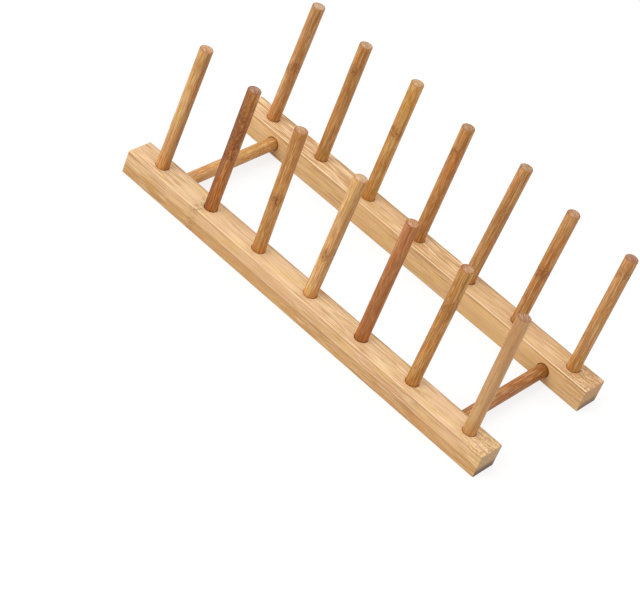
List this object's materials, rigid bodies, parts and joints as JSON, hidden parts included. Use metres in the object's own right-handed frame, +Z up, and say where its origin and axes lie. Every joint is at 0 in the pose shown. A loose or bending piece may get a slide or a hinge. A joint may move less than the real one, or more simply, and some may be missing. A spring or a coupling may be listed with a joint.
{
  "type": "dish drying rack",
  "caption": "Flat bamboo plate rack: two square rails joined by round cross dowels, with facing rows of upright round pegs that hold plates on edge.",
  "frame": {"origin": "on the table, midway between the rails and midway along them (the bottom centre of the bounding box)", "axes": "+X along the rails, +Y from the front rail to the back rail, +Z up along the pegs"},
  "size_m": [0.3356, 0.1404, 0.1229],
  "materials": {
    "rail_bamboo": "sanded, bare or lightly oiled laminated bamboo",
    "peg_bamboo": "turned round bamboo dowel, lightly polished",
    "dowel_bamboo": "turned round bamboo dowel, lightly polished"
  },
  "bodies": {
    "root": {"front_rail": "rail_bamboo", "back_rail": "rail_bamboo", "front_peg_1": "peg_bamboo", "front_peg_2": "peg_bamboo", "front_peg_3": "peg_bamboo", "front_peg_4": "peg_bamboo", "front_peg_5": "peg_bamboo", "front_peg_6": "peg_bamboo", "front_peg_7": "peg_bamboo", "back_peg_1": "peg_bamboo", "back_peg_2": "peg_bamboo", "back_peg_3": "peg_bamboo", "back_peg_4": "peg_bamboo", "back_peg_5": "peg_bamboo", "back_peg_6": "peg_bamboo", "back_peg_7": "peg_bamboo", "left_cross_dowel": "dowel_bamboo", "right_cross_dowel": "dowel_bamboo"}
  },
  "joints": []
}
